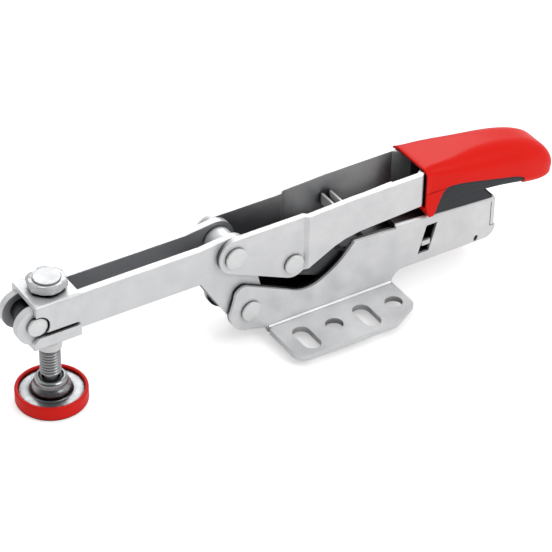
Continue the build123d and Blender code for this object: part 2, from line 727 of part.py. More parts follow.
with BuildPart() as grip_shell:
    add(grip_form(0))
    with BuildSketch(side_plane(-grip_half)):
        with BuildLine():
            Polyline(
                (grip_front, mouth_low + leg_root), (grip_front, mouth_low + 0.4),
                (grip_front + leg_depth - 2.1, leg_low), (grip_front + leg_depth, leg_low),
                (grip_front + leg_depth + leg_flare, mouth_low + leg_root), close=True,
            )
        make_face()
        fillet(vertices().group_by(Axis.Y)[0], 0.6)
    extrude(amount=2 * grip_half)
    add(mouth_form.part, mode=Mode.SUBTRACT)
    for offset in (-tang_half, tang_half - handle_sheet):
        extrude(tang_outline(side_plane(offset)), amount=handle_sheet, mode=Mode.SUBTRACT)
    extrude(insert_outline(side_plane(-grip_half - 1)), amount=2 * grip_half + 2, mode=Mode.SUBTRACT)
export(grip_shell, "grip_shell")

with BuildPart() as grip_insert:
    add(grip_form(insert_inset))
    with BuildSketch(side_plane(-belly_half)):
        with BuildLine():
            belly_end = insert_x + belly_length
            Polyline(
                (insert_x, split_top), (insert_x, web_z(insert_x) + seat_gap),
                (belly_end, web_z(belly_end) + seat_gap), (belly_end - belly_slant, grip_low - belly_rise),
                (belly_end - belly_slant, split_top), close=True,
            )
        make_face()
    extrude(amount=2 * belly_half)
    extrude(insert_outline(side_plane(-grip_half - 1)), amount=2 * grip_half + 2, mode=Mode.INTERSECT)
export(grip_insert, "grip_insert")
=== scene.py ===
"""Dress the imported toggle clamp: finishes, threaded spindle, pad, rivets, spring, studio and camera."""

import json
import logging
from dataclasses import dataclass, field
from enum import Enum
from math import atan2, cos, pi, radians, sin

import bmesh
import bpy
from mathutils import Matrix, Vector


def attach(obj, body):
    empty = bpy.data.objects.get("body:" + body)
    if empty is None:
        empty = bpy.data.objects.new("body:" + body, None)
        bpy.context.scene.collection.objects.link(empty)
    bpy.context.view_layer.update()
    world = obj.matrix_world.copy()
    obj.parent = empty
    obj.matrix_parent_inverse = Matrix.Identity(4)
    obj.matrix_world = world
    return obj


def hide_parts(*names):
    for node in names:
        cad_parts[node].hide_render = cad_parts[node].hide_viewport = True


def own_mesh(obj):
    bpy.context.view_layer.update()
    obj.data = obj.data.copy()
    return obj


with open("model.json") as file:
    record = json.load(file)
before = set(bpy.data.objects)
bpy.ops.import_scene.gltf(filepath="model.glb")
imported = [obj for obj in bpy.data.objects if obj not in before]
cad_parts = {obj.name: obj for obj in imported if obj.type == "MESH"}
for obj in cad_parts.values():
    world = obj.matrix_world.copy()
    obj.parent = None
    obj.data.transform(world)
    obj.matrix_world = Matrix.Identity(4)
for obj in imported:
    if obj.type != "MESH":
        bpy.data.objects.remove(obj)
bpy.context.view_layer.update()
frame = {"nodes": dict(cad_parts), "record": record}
LOG = logging.getLogger("toggle_clamp")
MM = 0.001
SHARP = radians(38)         # folds sharper than this keep a hard edge
GAP_SAMPLES = 8             # rays of each ambient occlusion node
EDGE_SAMPLES = 6            # rays of each bevel node
NOISE_LOW = 0.3             # most values of a noise texture lie between these two
NOISE_HIGH = 0.7


class Slot(Enum):
    """The record's material slots, one for each kind of surface on the clamp."""

    BASE = "zinc_base"
    ARM = "zinc_arm"
    HANDLE = "zinc_handle"
    INNER = "zinc_inner"
    RIVET = "zinc_rivet"
    SADDLE = "zinc_saddle"
    SPINDLE = "zinc_spindle"
    PAD = "zinc_pad"
    SPRING = "spring_steel"
    SHELL = "red_grip"
    INSERT = "grey_insert"
    CAP = "red_cap"
    RING = "black_plastic"


def linear(code: str) -> tuple[float, float, float, float]:
    """Turn an sRGB hex colour into linear red, green, blue and alpha.

    Args:
        code: Six hex digits, such as "C8CACC".

    Returns:
        Linear colour values from 0 to 1, with alpha 1.
    """
    parts = [int(code[i:i + 2], 16) / 255 for i in (0, 2, 4)]
    r, g, b = (p / 12.92 if p <= 0.04045 else ((p + 0.055) / 1.055) ** 2.4 for p in parts)
    return (r, g, b, 1.0)


def add_node(tree: bpy.types.NodeTree, kind: str, settings: dict | None = None,
             inputs: dict | None = None) -> bpy.types.Node:
    """Add one shader node with its settings, values and links.

    Args:
        tree: The node tree that receives the node.
        kind: The node's Blender type name.
        settings: Attributes of the node.
        inputs: Input names or numbers, each with a value or an output socket to link.

    Returns:
        The new node.
    """
    node = tree.nodes.new(kind)
    for name, value in (settings or {}).items():
        setattr(node, name, value)
    for name, value in (inputs or {}).items():
        if isinstance(value, bpy.types.NodeSocket):
            tree.links.new(value, node.inputs[name])
        else:
            node.inputs[name].default_value = value
    return node


def fresh_material(name: str) -> tuple[bpy.types.Material, bpy.types.NodeTree]:
    """Make an empty node material and return it with its tree."""
    material = bpy.data.materials.new(name)
    material.use_nodes = True
    material.node_tree.nodes.clear()
    return material, material.node_tree


@dataclass(frozen=True)
class ZincPlatedSteel:
    """Stamped steel, tumbled, zinc plated and clear passivated.

    The passivate film scatters light like a thin pale paint, so the eye sees half sheen and half chalk,
    with soft clouds from the tumbling bath. Gaps, and most of all faces inside a channel, are darkened
    with painted shade from ambient occlusion.
    """

    name: str
    colour: str = "EBECED"
    cloud_colour: str = "D6D7D9"
    painted_shade_colour: str = "121314"
    metallic: float = 0.45
    roughness: float = 0.42
    cloud_mm: float = 8.0
    grain_mm: float = 0.45
    grain_depth_mm: float = 0.006
    edge_mm: float = 0.28
    painted_shade_mm: float = 18.0
    painted_shade_full_ao: float = 0.3
    painted_shade_clear_ao: float = 0.56
    channel_shade_mm: float = 0.0
    channel_shade_full_ao: float = 0.5
    channel_shade_clear_ao: float = 1.1
    gloss_fall: float = 0.05
    gloss_rise: float = 0.06
    grain_strength: float = 0.35

    def build(self) -> bpy.types.Material:
        """Build the material and return it."""
        material, tree = fresh_material(self.name)
        place = add_node(tree, "ShaderNodeTexCoord").outputs["Object"]
        # Clouds of the tumbling bath: the eye sees slow changes of tone and gloss across a plate.
        clouds = add_node(tree, "ShaderNodeTexNoise", None, {
            "Vector": place, "Scale": 1 / (self.cloud_mm * MM), "Detail": 4.0, "Roughness": 0.6})
        tone = add_node(tree, "ShaderNodeMix", {"data_type": "RGBA"}, {
            "Factor": clouds.outputs["Fac"], "A": linear(self.colour), "B": linear(self.cloud_colour)})
        # Painted shade: ambient occlusion darkens gaps towards a near-black colour, and most of all the
        # faces inside a channel, which lie nearer to the middle plane than the channel distance.
        shade_ao = add_node(tree, "ShaderNodeAmbientOcclusion", {"samples": GAP_SAMPLES}, {"Distance": self.painted_shade_mm * MM})
        across = add_node(tree, "ShaderNodeSeparateXYZ", None, {0: place})
        depth = add_node(tree, "ShaderNodeMath", {"operation": "ABSOLUTE"}, {0: across.outputs["Y"]})
        inside = add_node(tree, "ShaderNodeMath", {"operation": "LESS_THAN"}, {
            0: depth.outputs["Value"], 1: self.channel_shade_mm * MM})
        shut = add_node(tree, "ShaderNodeMath", {"operation": "MULTIPLY_ADD"}, {
            0: inside.outputs["Value"], 1: self.channel_shade_full_ao - self.painted_shade_full_ao, 2: self.painted_shade_full_ao})
        clear = add_node(tree, "ShaderNodeMath", {"operation": "MULTIPLY_ADD"}, {
            0: inside.outputs["Value"], 1: self.channel_shade_clear_ao - self.painted_shade_clear_ao, 2: self.painted_shade_clear_ao})
        reach = add_node(tree, "ShaderNodeMapRange", {"interpolation_type": "SMOOTHSTEP"}, {
            "Value": shade_ao.outputs["AO"], "From Min": shut.outputs["Value"], "From Max": clear.outputs["Value"]})
        skin = add_node(tree, "ShaderNodeMix", {"data_type": "RGBA"}, {
            "Factor": reach.outputs["Result"], "A": linear(self.painted_shade_colour), "B": tone.outputs["Result"]})
        gloss = add_node(tree, "ShaderNodeMapRange", None, {
            "Value": clouds.outputs["Fac"], "From Min": NOISE_LOW, "From Max": NOISE_HIGH,
            "To Min": self.roughness - self.gloss_fall, "To Max": self.roughness + self.gloss_rise})
        # Grain of the rolled sheet under the plating, drawn coarser than real so that it shows.
        grain = add_node(tree, "ShaderNodeTexNoise", None, {
            "Vector": place, "Scale": 1 / (self.grain_mm * MM), "Detail": 2.0})
        # Stamped edges are broken by tumbling, which draws a thin bright line along each one.
        edge = add_node(tree, "ShaderNodeBevel", {"samples": EDGE_SAMPLES}, {"Radius": self.edge_mm * MM})
        bump = add_node(tree, "ShaderNodeBump", None, {
            "Height": grain.outputs["Fac"], "Strength": self.grain_strength, "Distance": self.grain_depth_mm * MM,
            "Normal": edge.outputs["Normal"]})
        shader = add_node(tree, "ShaderNodeBsdfPrincipled", None, {
            "Base Color": skin.outputs["Result"], "Metallic": self.metallic,
            "Roughness": gloss.outputs["Result"], "Normal": bump.outputs["Normal"]})
        add_node(tree, "ShaderNodeOutputMaterial", None, {"Surface": shader.outputs["BSDF"]})
        return material


@dataclass(frozen=True)
class MouldedPlastic:
    """A moulded plastic or rubber with the fine spark-eroded grain of its tool.

    The grain breaks up the gloss, so the eye sees a satin skin whose colour stays full.
    """

    name: str
    colour: str
    shade_colour: str
    roughness: float
    ior: float
    grain_mm: float
    grain_depth_mm: float
    specular: float = 0.5
    edge_mm: float = 0.35
    painted_shade_mm: float = 5.0
    painted_shade_darkest: float = 0.12
    painted_shade_full_ao: float = 0.25
    painted_shade_clear_ao: float = 0.75
    flow_mm: float = 22.0
    gloss_fall: float = 0.04
    gloss_rise: float = 0.05
    grain_strength: float = 0.4

    def build(self) -> bpy.types.Material:
        """Build the material and return it."""
        material, tree = fresh_material(self.name)
        place = add_node(tree, "ShaderNodeTexCoord").outputs["Object"]
        # Flow in the mould: very soft patches of a deeper tone.
        flow = add_node(tree, "ShaderNodeTexNoise", None, {
            "Vector": place, "Scale": 1 / (self.flow_mm * MM), "Detail": 2.0})
        tone = add_node(tree, "ShaderNodeMix", {"data_type": "RGBA"}, {
            "Factor": flow.outputs["Fac"], "A": linear(self.colour), "B": linear(self.shade_colour)})
        # Painted shade: under the rims and in the mouth the colour is darkened by ambient occlusion.
        shade_ao = add_node(tree, "ShaderNodeAmbientOcclusion", {"samples": GAP_SAMPLES}, {"Distance": self.painted_shade_mm * MM})
        depth = add_node(tree, "ShaderNodeMapRange", {"interpolation_type": "SMOOTHSTEP"}, {
            "Value": shade_ao.outputs["AO"], "From Min": self.painted_shade_full_ao, "From Max": self.painted_shade_clear_ao,
            "To Min": self.painted_shade_darkest})
        skin = add_node(tree, "ShaderNodeMix", {"data_type": "RGBA", "blend_type": "MULTIPLY"}, {
            "Factor": 1.0, "A": tone.outputs["Result"], "B": depth.outputs["Result"]})
        # Spark-eroded grain, drawn a little coarser than real so that it shows.
        grain = add_node(tree, "ShaderNodeTexNoise", None, {
            "Vector": place, "Scale": 1 / (self.grain_mm * MM), "Detail": 2.0, "Roughness": 0.6})
        gloss = add_node(tree, "ShaderNodeMapRange", None, {
            "Value": grain.outputs["Fac"], "From Min": NOISE_LOW, "From Max": NOISE_HIGH,
            "To Min": self.roughness - self.gloss_fall, "To Max": self.roughness + self.gloss_rise})
        edge = add_node(tree, "ShaderNodeBevel", {"samples": EDGE_SAMPLES}, {"Radius": self.edge_mm * MM})
        bump = add_node(tree, "ShaderNodeBump", None, {
            "Height": grain.outputs["Fac"], "Strength": self.grain_strength, "Distance": self.grain_depth_mm * MM,
            "Normal": edge.outputs["Normal"]})
        shader = add_node(tree, "ShaderNodeBsdfPrincipled", None, {
            "Base Color": skin.outputs["Result"], "Roughness": gloss.outputs["Result"], "IOR": self.ior,
            "Specular IOR Level": self.specular, "Normal": bump.outputs["Normal"]})
        add_node(tree, "ShaderNodeOutputMaterial", None, {"Surface": shader.outputs["BSDF"]})
        return material


# Each finish darkens its gaps with painted shade from ambient occlusion, such as the side walls of the rivet heads,
# the valleys of the thread and the skirt of the pad.
FINISHES: dict[Slot, ZincPlatedSteel | MouldedPlastic] = {
    Slot.BASE: ZincPlatedSteel("zinc_plated_base_sheet", colour="F3F3F4", cloud_colour="CDCFD1", metallic=0.38,
                               cloud_mm=11.0, painted_shade_full_ao=0.12, painted_shade_clear_ao=0.62, channel_shade_mm=8.6, channel_shade_full_ao=0.62,
                               channel_shade_clear_ao=1.25),
    Slot.ARM: ZincPlatedSteel("zinc_plated_arm_bar", painted_shade_colour="8C8D91", channel_shade_mm=4.6),
    Slot.HANDLE: ZincPlatedSteel("zinc_plated_handle_sheet", colour="F0F0F1", painted_shade_colour="4C4D50", channel_shade_mm=9.0,
                                 channel_shade_clear_ao=1.2, edge_mm=0.12),
    # Painted shade: the inner work gets a dark grey copy of the zinc, standing for the shade it lies in between the
    # plates.
    Slot.INNER: ZincPlatedSteel("zinc_plated_inner_sheet_painted_shade", colour="747679", cloud_colour="545659",
                                painted_shade_colour="0C0D0E", painted_shade_mm=12.0, painted_shade_full_ao=0.7, painted_shade_clear_ao=1.05),
    Slot.RIVET: ZincPlatedSteel("zinc_plated_rivet_head", colour="F2F3F3", cloud_colour="E2E3E4", cloud_mm=1.2,
                                painted_shade_mm=2.2, painted_shade_full_ao=0.58, painted_shade_clear_ao=0.95),
    Slot.SADDLE: ZincPlatedSteel("zinc_plated_saddle_sheet", cloud_mm=5.0, painted_shade_mm=4.0, painted_shade_full_ao=0.35),
    Slot.SPINDLE: ZincPlatedSteel("zinc_plated_turned_spindle", colour="C8C9CB", cloud_colour="BDBFC1",
                                  metallic=0.5, roughness=0.36, cloud_mm=4.0, painted_shade_mm=2.0, painted_shade_full_ao=0.35,
                                  painted_shade_clear_ao=0.95, edge_mm=0.1),
    Slot.PAD: ZincPlatedSteel("zinc_plated_pressed_pad", colour="C2C4C7", cloud_colour="B6B8BB", metallic=0.95,
                              roughness=0.29, cloud_mm=4.0, painted_shade_mm=9.0, painted_shade_full_ao=0.6, painted_shade_clear_ao=0.99, edge_mm=0.08),
    Slot.SPRING: ZincPlatedSteel("drawn_spring_steel", colour="8B8E92", cloud_colour="7C7F84", metallic=1.0,
                                 roughness=0.3, cloud_mm=2.0, edge_mm=0.05),
    Slot.SHELL: MouldedPlastic("red_moulded_polyamide", colour="E91A0D", shade_colour="E0180C", roughness=0.36,
                               ior=1.53, grain_mm=0.3, grain_depth_mm=0.006, specular=0.12, edge_mm=0.6,
                               painted_shade_mm=8.0),
    Slot.INSERT: MouldedPlastic("grey_moulded_soft_rubber", colour="3C3E42", shade_colour="36383B", roughness=0.62,
                                ior=1.5, grain_mm=0.25, grain_depth_mm=0.01, specular=0.25, edge_mm=1.2,
                                painted_shade_mm=8.0),
    Slot.CAP: MouldedPlastic("red_moulded_soft_rubber", colour="DD1B12", shade_colour="CF170F", roughness=0.45,
                             ior=1.5, grain_mm=0.25, grain_depth_mm=0.008, specular=0.16, edge_mm=0.7,
                             painted_shade_mm=4.0),
    Slot.RING: MouldedPlastic("black_moulded_polyamide", colour="17181A", shade_colour="141517", roughness=0.45,
                              ior=1.53, grain_mm=0.25, grain_depth_mm=0.006),
}


# Small plated pieces of the inner work that catch the light, so they take a finish without the inner work's painted
# shade.
UNSHADED_INNER_NODES: dict[str, Slot] = {
    "handle_strut": Slot.RIVET, "handle_sleeve": Slot.RIVET, "wedge_bar": Slot.BASE}


@dataclass
class Dresser:
    """Holds the finished materials and puts them on nodes and pieces."""

    materials: dict[Slot, bpy.types.Material] = field(default_factory=dict)

    def mix(self) -> None:
        """Build every finish once."""
        for slot, finish in FINISHES.items():
            self.materials[slot] = finish.build()

    def dress_nodes(self) -> None:
        """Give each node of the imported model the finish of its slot."""
        slots = {entry["node"]: Slot(entry["material_slot"]) for entry in frame["record"]["subparts"]}
        slots |= UNSHADED_INNER_NODES
        for name, node in frame["nodes"].items():
            for place in node.material_slots:
                place.material = self.materials[slots[name]]
            if not node.material_slots:
                node.data.materials.append(self.materials[slots[name]])
            LOG.info("dressed %s", name)

    def piece(self, mesh: bpy.types.Mesh, slot: Slot, body: str, replaced: str = "") -> bpy.types.Object:
        """Place a mesh as a piece of the clamp.

        Args:
            mesh: The finished mesh, in the row frame.
            slot: The slot whose finish the piece takes.
            body: The body that carries it.
            replaced: The node that it stands for, if any.

        Returns:
            The new object.
        """
        made = bpy.data.objects.new(mesh.name, mesh)
        bpy.context.scene.collection.objects.link(made)
        mesh.materials.append(self.materials[slot])
        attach(made, body)
        if replaced:
            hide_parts(replaced)
        LOG.info("built %s", mesh.name)
        return made


@dataclass(frozen=True)
class Lamp:
    """One soft square lamp: its name, place and side in metres, and power in watts."""

    name: str
    place: tuple[float, float, float]
    size: float
    power: float


@dataclass
class Studio:
    """The pale floor, soft light and camera."""

    target_mm: tuple[float, float, float] = (-26.5, 0.0, 16.4)
    azimuth: float = 32.458
    elevation: float = 36.515
    roll: float = 1.011
    distance_mm: float = 993.0
    focal_px: float = 2642.49
    image_px: int = 552
    sensor_mm: float = 36.0
    far_clip: float = 20.0
    floor_mm: float = -2.9
    floor_half: float = 3.0
    paper: str = "F8F8F8"
    paper_lift: float = 0.45
    room_light: float = 0.8
    room_front: float = 0.08
    room_back: float = 0.9
    room_turn: tuple[float, float] = (-0.5, 0.2)
    room_rise: float = 0.35
    lamps: tuple[Lamp, ...] = (Lamp("key_lamp", (0.7, -1.25, 1.3), 1.0, 11.0),
                               Lamp("back_lamp", (0.69, 1.08, 0.95), 0.8, 6.5))

    def camera(self) -> None:
        """Set the camera at the viewing angle, with its lens worked out from the image width."""
        a, e, s = radians(self.azimuth), radians(self.elevation), radians(self.roll)
        look = Vector((sin(a) * cos(e), cos(a) * cos(e), -sin(e)))
        right = Vector((cos(a), -sin(a), 0))
        up = Vector((sin(a) * sin(e), cos(a) * sin(e), cos(e)))
        turned_right = right * cos(s) + up * sin(s)
        turned_up = up * cos(s) - right * sin(s)
        data = bpy.data.cameras.new("camera")
        data.sensor_width = self.sensor_mm
        data.lens = self.focal_px / self.image_px * data.sensor_width
        data.clip_end = self.far_clip
        place = Vector(self.target_mm) * MM - look * self.distance_mm * MM
        turn = Matrix((turned_right, turned_up, -look)).transposed().to_4x4()
        camera = bpy.data.objects.new("camera", data)
        camera.matrix_world = Matrix.Translation(place) @ turn
        bpy.context.scene.collection.objects.link(camera)
        bpy.context.scene.camera = camera

    def floor(self) -> None:
        """Lay a large pale floor that shows white to the camera and to gloss, and keeps the shadow."""
        mesh = bpy.data.meshes.new("studio_floor")
        half, z = self.floor_half, self.floor_mm * MM
        mesh.from_pydata([(-half, -half, z), (half, -half, z), (half, half, z), (-half, half, z)], [], [(0, 1, 2, 3)])
        floor = bpy.data.objects.new("studio_floor", mesh)
        bpy.context.scene.collection.objects.link(floor)
        material, tree = fresh_material("studio_paper")
        paper = add_node(tree, "ShaderNodeBsdfDiffuse", None, {"Color": linear(self.paper)})
        # The camera sees the paper lifted a little towards white; its light on the clamp stays plain.
        seen = add_node(tree, "ShaderNodeLightPath")
        power = add_node(tree, "ShaderNodeMath", {"operation": "MULTIPLY"}, {
            0: seen.outputs["Is Camera Ray"], 1: self.paper_lift})
        glow = add_node(tree, "ShaderNodeEmission", None, {"Strength": power.outputs["Value"]})
        both = add_node(tree, "ShaderNodeAddShader", None, {0: paper.outputs["BSDF"], 1: glow.outputs["Emission"]})
        add_node(tree, "ShaderNodeOutputMaterial", None, {"Surface": both.outputs["Shader"]})
        mesh.materials.append(material)

    def hang(self, lamp: Lamp) -> None:
        """Hang one lamp so that it faces the clamp.

        Args:
            lamp: The lamp's name, place, size and power.
        """
        data = bpy.data.lights.new(lamp.name, "AREA")
        data.size = lamp.size
        data.energy = lamp.power
        made = bpy.data.objects.new(lamp.name, data)
        made.location = lamp.place
        aim = Vector(self.target_mm) * MM - Vector(lamp.place)
        made.rotation_euler = aim.to_track_quat("-Z", "Y").to_euler()
        bpy.context.scene.collection.objects.link(made)

    def world(self) -> None:
        """Fill the room with even white light, which gloss sees as a bright and a dark side."""
        world = bpy.data.worlds.new("studio_room")
        bpy.context.scene.world = world
        world.use_nodes = True
        tree = world.node_tree
        tree.nodes.clear()
        # Gloss mirrors a bright far wall and a dark near side, which draws the forms of the metal.
        side = add_node(tree, "ShaderNodeVectorMath", {"operation": "DOT_PRODUCT"}, {
            0: add_node(tree, "ShaderNodeTexCoord").outputs["Generated"],
            1: (sin(radians(self.azimuth)), cos(radians(self.azimuth)), self.room_rise)})
        wall = add_node(tree, "ShaderNodeMapRange", {"interpolation_type": "SMOOTHSTEP"}, {
            "Value": side.outputs["Value"], "From Min": self.room_turn[0], "From Max": self.room_turn[1],
            "To Min": self.room_front, "To Max": self.room_back})
        seen = add_node(tree, "ShaderNodeLightPath")
        strength = add_node(tree, "ShaderNodeMix", None, {
            "Factor": seen.outputs["Is Glossy Ray"], "A": self.room_light, "B": wall.outputs["Result"]})
        glow = add_node(tree, "ShaderNodeBackground", None, {"Strength": strength.outputs["Result"]})
        add_node(tree, "ShaderNodeOutputWorld", None, {"Surface": glow.outputs["Background"]})

    def build(self) -> None:
        """Set up the whole studio."""
        bpy.context.scene.view_settings.view_transform = "Standard"
        self.camera()
        self.floor()
        self.world()
        for lamp in self.lamps:
            self.hang(lamp)


def join_rows(shape: bmesh.types.BMesh, rows: list[list[bmesh.types.BMVert]]) -> None:
    """Join neighbouring closed rows of points with four-sided faces."""
    for below, above in zip(rows, rows[1:]):
        for j in range(len(below)):
            k = (j + 1) % len(below)
            shape.faces.new((below[j], below[k], above[k], above[j]))


def closed_mesh(name: str, shape: bmesh.types.BMesh) -> bpy.types.Mesh:
    """Turn a finished bmesh into a named mesh and free it."""
    mesh = bpy.data.meshes.new(name)
    shape.to_mesh(mesh)
    shape.free()
    return mesh


@dataclass
class ThreadedSpindle:
    """The M8 spindle: hexagon head with a round boss, rolled thread, neck and ball."""

    x_mm: float = -122.3
    thread_r: float = 3.95
    root_r: float = 3.3
    pitch: float = 1.25
    thread_low: float = 10.1
    saddle_top: float = 47.8
    head_flats: float = 13.5
    head_turn: float = 18.1
    head_height: float = 4.4
    head_undercut: float = 1.3
    seat_r: float = 5.2
    boss_r: float = 5.1
    boss_height: float = 0.6
    neck_r: float = 2.5
    ball_r: float = 3.5
    ball_z: float = 4.5
    steps: int = 48
    ball_steps: int = 12
    head_steps: int = 72
    rows_per_turn: int = 10
    flank: float = 1.35

    def rings(self) -> list[list[tuple[float, float, float]]]:
        """The rings of points from the ball up to the head.

        Returns:
            One list of points for each ring, in millimetres.
        """
        rings = []
        top = (self.ball_r ** 2 - self.neck_r ** 2) ** 0.5
        for i in range(1, self.ball_steps + 1):
            polar = -pi / 2 + (pi / 2 + atan2(top, self.neck_r)) * i / self.ball_steps
            rings.append(self.ring(self.ball_r * cos(polar), self.ball_z + self.ball_r * sin(polar)))
        rings.append(self.ring(self.neck_r, self.thread_low - 1.0))
        rings.append(self.ring(self.root_r, self.thread_low - 0.3))
        z = self.thread_low
        while z < self.saddle_top - 0.2:
            rings.append([self.thread_point(z, 2 * pi * j / self.steps) for j in range(self.steps)])
            z += self.pitch / self.rows_per_turn
        rings.append(self.ring(self.root_r, self.saddle_top))
        return rings

    def ring(self, radius: float, z: float) -> list[tuple[float, float, float]]:
        """A plain ring of points at one height."""
        return [(self.x_mm + radius * cos(2 * pi * j / self.steps), radius * sin(2 * pi * j / self.steps), z)
                for j in range(self.steps)]

    def thread_point(self, z: float, turn: float) -> tuple[float, float, float]:
        """One point of the rolled thread, whose flanks are flattened at crest and root."""
        phase = (z / self.pitch - turn / (2 * pi)) % 1.0
        rise = min(1.0, max(0.0, 0.5 + self.flank * (abs(phase * 2 - 1) - 0.5)))
        radius = self.root_r + (self.thread_r - self.root_r) * rise
        return (self.x_mm + radius * cos(turn), radius * sin(turn), z)

    def head_point(self, shape: bmesh.types.BMesh, radius: float, turn: float, z: float) -> bmesh.types.BMVert:
        """Add one point of the head, turned with the hexagon."""
        around = turn + radians(self.head_turn + 30)
        return shape.verts.new(((self.x_mm + radius * cos(around)) * MM, radius * sin(around) * MM, z * MM))

    def head(self, shape: bmesh.types.BMesh) -> None:
        """Add the hexagon head, rounded off at its corners above and below, with its boss."""
        flat = self.head_flats / 2
        corner = flat / cos(radians(30))
        bevel = (flat + corner) / 2
        low, high = self.saddle_top, self.saddle_top + self.head_height
        cut, top = low + self.head_undercut, high + self.boss_height
        hexagon = [(low, self.seat_r), (cut - 0.5, self.seat_r + 0.4), (cut, flat), (cut + 0.35, bevel),
                   (cut + 0.7, corner), (high - 0.9, corner), (high - 0.4, bevel + 0.1), (high, flat - 0.2)]
        boss = [(high, self.boss_r), (top - 0.15, self.boss_r), (top - 0.05, self.boss_r - 0.05),
                (top, self.boss_r - 0.15), (top, self.boss_r - 0.4)]
        turns = [2 * pi * j / self.head_steps for j in range(self.head_steps)]
        # A point of a row lies on the nearest flat of the hexagon, unless the row's own radius is smaller.
        reach = [flat / cos((turn + pi / 6) % (pi / 3) - pi / 6) for turn in turns]
        rows = [[self.head_point(shape, min(far, limit), turn, z) for far, turn in zip(reach, turns)]
                for z, limit in hexagon]
        rows += [[self.head_point(shape, radius, turn, z) for turn in turns] for z, radius in boss]
        join_rows(shape, rows)
        shape.faces.new(rows[-1])
        shape.faces.new(rows[0][::-1])

    def build(self, dresser: Dresser) -> None:
        """Build the spindle and put it in the place of its plain node."""
        shape = bmesh.new()
        rows = [[shape.verts.new((x * MM, y * MM, z * MM)) for x, y, z in ring] for ring in self.rings()]
        tip = shape.verts.new((self.x_mm * MM, 0, (self.ball_z - self.ball_r) * MM))
        for j in range(self.steps):
            shape.faces.new((tip, rows[0][(j + 1) % self.steps], rows[0][j]))
        join_rows(shape, rows)
        shape.faces.new(rows[-1])
        self.head(shape)
        mesh = closed_mesh("threaded_spindle", shape)
        mesh.set_sharp_from_angle(angle=SHARP)
        dresser.piece(mesh, Slot.SPINDLE, "spindle", "spindle")


def lathe(name: str, profile: list[tuple[float, float]], centre: tuple[float, float], along: str,
          steps: int = 72) -> bpy.types.Mesh:
    """Turn an outline round an axis into a closed mesh.

    Args:
        name: The mesh's name.
        profile: Radius and place along the axis for each point, in millimetres, from end to end.
        centre: Where the axis crosses the other two directions, in millimetres.
        along: The axis, "Y" or "Z".
        steps: How many sides the turned form has.

    Returns:
        The mesh, with sharp edges where the outline turns sharply.
    """
    shape = bmesh.new()
    rows = []
    for radius, place in profile:
        row = []
        for j in range(steps):
            first = centre[0] + radius * cos(2 * pi * j / steps)
            second = centre[1] + radius * sin(2 * pi * j / steps)
            point = (first, place, second) if along == "Y" else (first, second, place)
            row.append(shape.verts.new([value * MM for value in point]))
        rows.append(row)
    join_rows(shape, rows)
    shape.faces.new(rows[0][::-1])
    shape.faces.new(rows[-1])
    bmesh.ops.recalc_face_normals(shape, faces=shape.faces)
    mesh = closed_mesh(name, shape)
    mesh.set_sharp_from_angle(angle=SHARP)
    return mesh


@dataclass
class PressurePad:
    """The pressed pad: a disc with a domed skirt and a rolled collar that holds the ball."""

    x_mm: float = -122.3
    disc_r: float = 12.1
    disc_low: float = 0.6
    disc_top: float = 2.0
    skirt_r: float = 7.7
    collar_r: float = 6.2
    mouth_r: float = 4.2
    crown: float = 8.4
    socket_low: float = 0.94
    disc_edge: float = 0.2
    bore_r: float = 0.5
    # the skirt from the disc up: out from skirt_r and up from the disc
    skirt: tuple[tuple[float, float], ...] = (
        (0.9, 0.0), (0.55, 0.05), (0.3, 0.2), (0.15, 0.45), (0.05, 0.9), (-0.05, 1.5), (-0.25, 2.1),
        (-0.55, 2.7), (-0.9, 3.2), (-1.2, 3.6))
    # the rolled collar on the skirt: out from collar_r and down from the crown
    collar: tuple[tuple[float, float], ...] = (
        (0.1, 2.4), (0.05, 2.0), (0.0, 1.4), (-0.2, 0.8), (-0.55, 0.3), (-1.05, 0.04), (-1.5, 0.0))

    def build(self, dresser: Dresser) -> None:
        """Build the pad and put it in the place of its plain node."""
        outline = [(self.bore_r, self.disc_low), (self.disc_r, self.disc_low),
                   (self.disc_r, self.disc_top - self.disc_edge), (self.disc_r - self.disc_edge, self.disc_top)]
        outline += [(self.skirt_r + out, self.disc_top + rise) for out, rise in self.skirt]
        outline += [(self.collar_r + out, self.crown - drop) for out, drop in self.collar]
        outline += [(self.mouth_r + 0.2, self.crown - 0.1), (self.mouth_r, self.crown - 0.4),
                    (self.mouth_r, self.socket_low), (self.bore_r, self.socket_low)]
        dresser.piece(lathe("pressed_pad", outline, (self.x_mm, 0.0), "Z"), Slot.PAD, "pad", "pad_disc")


def solid(name: str, points: list[tuple[float, float, float]], faces: list[tuple[int, ...]]) -> bpy.types.Mesh:
    """Make a mesh from points in millimetres and faces, with its normals turned outwards."""
    shape = bmesh.new()
    places = [shape.verts.new([value * MM for value in point]) for point in points]
    for face in faces:
        shape.faces.new([places[i] for i in face])
    bmesh.ops.recalc_face_normals(shape, faces=shape.faces)
    return closed_mesh(name, shape)


